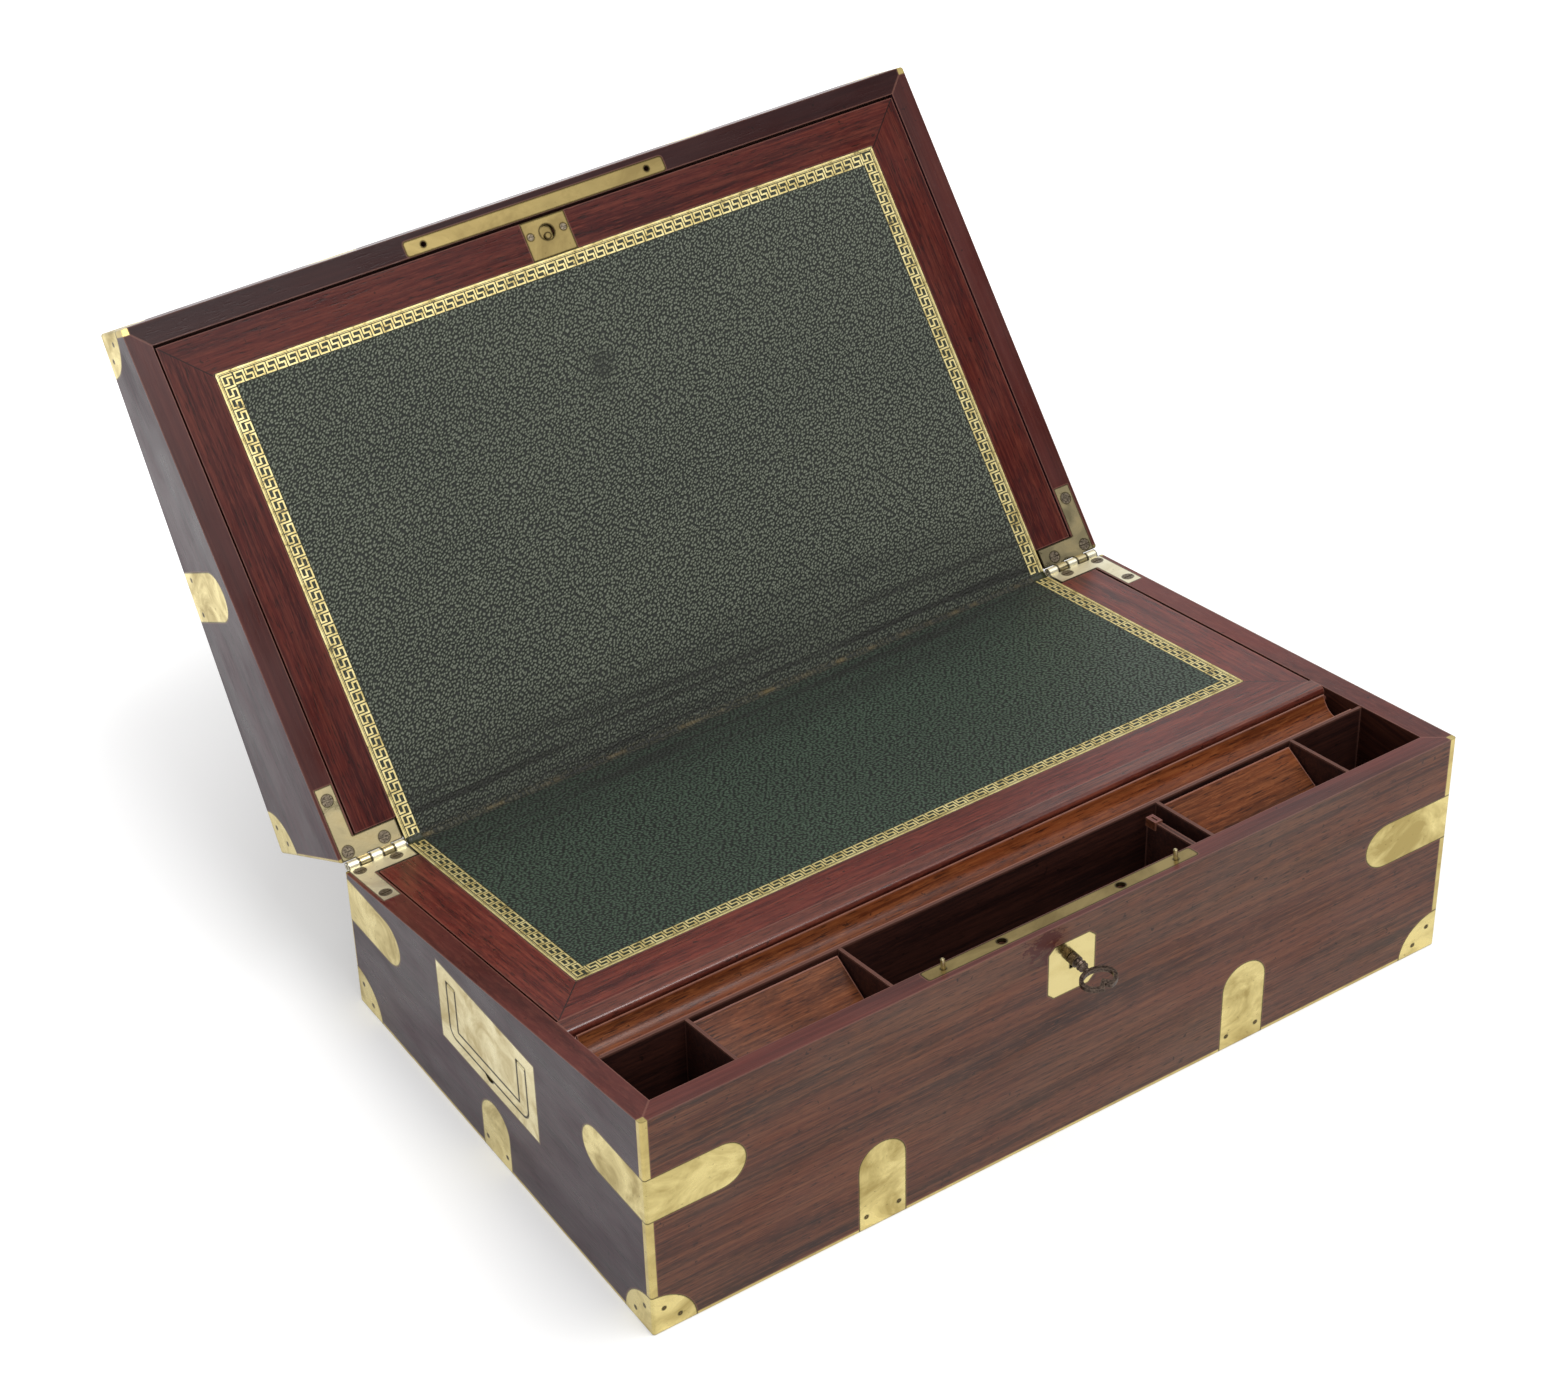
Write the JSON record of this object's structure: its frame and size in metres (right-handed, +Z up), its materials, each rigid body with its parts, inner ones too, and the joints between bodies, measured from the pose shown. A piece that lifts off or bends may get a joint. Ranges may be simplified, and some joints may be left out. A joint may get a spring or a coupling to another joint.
{
  "type": "writing slope",
  "caption": "Portable brass-bound wooden writing slope with a hinged lid, folding leather writing flaps, pen tray, ink wells, flush handles and a lock with its key.",
  "frame": {"origin": "middle of the underside of the base", "axes": "+X to the right along the width, +Y from the front to the hinged back, +Z up"},
  "size_m": [0.508, 0.5656, 0.3258],
  "materials": {
    "mahogany": "french polished",
    "flap_mahogany": "french polished",
    "inner_mahogany": "waxed",
    "brass": "worn polish",
    "leather": "pebbled, gilt tooled",
    "steel": "tarnished",
    "iron": "patinated"
  },
  "bodies": {
    "base": {"base_back_board": "mahogany", "base_bottom_edging": "brass", "base_corner_caps": "brass", "base_corner_straps": "brass", "base_edge_beads": "brass", "base_flap_bearers": "inner_mahogany", "base_floor": "mahogany", "base_folded_straps": "brass", "base_front_board": "mahogany", "base_left_board": "mahogany", "base_nails": "brass", "base_right_board": "mahogany", "divider_clip": "brass", "escutcheon": "brass", "flap_rail": "flap_mahogany", "front_divider": "inner_mahogany", "handle_pins": "brass", "handle_plate_left": "brass", "handle_plate_right": "brass", "hinge_base_leaves": "brass", "hinge_base_screws": "steel", "hinge_pins": "brass", "locating_pins": "brass", "lock_case": "brass", "lock_plate": "brass", "low_divider": "inner_mahogany", "nib_board_left": "inner_mahogany", "nib_board_right": "inner_mahogany", "partition_1": "inner_mahogany", "partition_2": "inner_mahogany", "partition_3": "inner_mahogany", "partition_4": "inner_mahogany", "tray_bearers": "inner_mahogany", "well_floor": "inner_mahogany"},
    "lid": {"hinge_lid_leaves": "brass", "hinge_lid_screws": "steel", "lid_back_board": "mahogany", "lid_corner_caps": "brass", "lid_edge_beads": "brass", "lid_flap_bearers": "inner_mahogany", "lid_folded_straps": "brass", "lid_front_board": "mahogany", "lid_left_board": "mahogany", "lid_nails": "brass", "lid_right_board": "mahogany", "lid_top_board": "mahogany", "link_plate": "brass", "name_plate": "brass"},
    "lower_flap": {"lower_flap_panel": "flap_mahogany", "lower_flap_leather": "leather"},
    "upper_flap": {"upper_flap_panel": "flap_mahogany", "upper_flap_leather": "leather", "catch_plate": "brass", "catch_screws": "steel"},
    "catch_bolt": {"catch_bolt": "brass"},
    "pen_tray": {"pen_tray": "inner_mahogany"},
    "handle_left": {"handle_bail_left": "brass"},
    "handle_right": {"handle_bail_right": "brass"},
    "key": {"key": "iron"},
    "lock_bolt": {"lock_bolt": "brass"}
  },
  "joints": [
    {"name": "lid_hinge", "type": "hinge", "parent": "base", "child": "lid", "pos_m": [0, 0.1541, 0.09015], "axis": [-1, 0, 0], "range_deg": [-120.35, 59.65]},
    {"name": "lower_flap_hinge", "type": "hinge", "parent": "base", "child": "lower_flap", "pos_m": [0, 0.1541, 0.09015], "axis": [-1, 0, 0], "range_deg": [0, 85]},
    {"name": "upper_flap_hinge", "type": "hinge", "parent": "lid", "child": "upper_flap", "pos_m": [0, 0.1541, 0.09015], "axis": [1, 0, 0], "range_deg": [0, 85]},
    {"name": "catch_slide", "type": "slide", "parent": "upper_flap", "child": "catch_bolt", "axis": [0, 0.6491, 0.7607], "range_m": [0, 0.0036]},
    {"name": "tray_lift", "type": "slide", "parent": "base", "child": "pen_tray", "axis": [0, 0, 1], "range_m": [0, 0.06]},
    {"name": "handle_left_swing", "type": "hinge", "parent": "base", "child": "handle_left", "pos_m": [-0.252, 0.0018, 0.0903], "axis": [0, 1, 0], "range_deg": [0, 90]},
    {"name": "handle_right_swing", "type": "hinge", "parent": "base", "child": "handle_right", "pos_m": [0.252, 0.0018, 0.0903], "axis": [0, -1, 0], "range_deg": [0, 90]},
    {"name": "key_turn", "type": "hinge", "parent": "base", "child": "key", "pos_m": [0, -0.151, 0.119], "axis": [0, -1, 0], "range_deg": [-90, 90]},
    {"name": "bolt_throw", "type": "slide", "parent": "base", "child": "lock_bolt", "axis": [1, 0, 0], "range_m": [-0.004, 0.004]}
  ],
  "couplings": [
    {"joint": "bolt_throw", "follows": "key_turn", "m_per_rad": 0.0022}
  ]
}
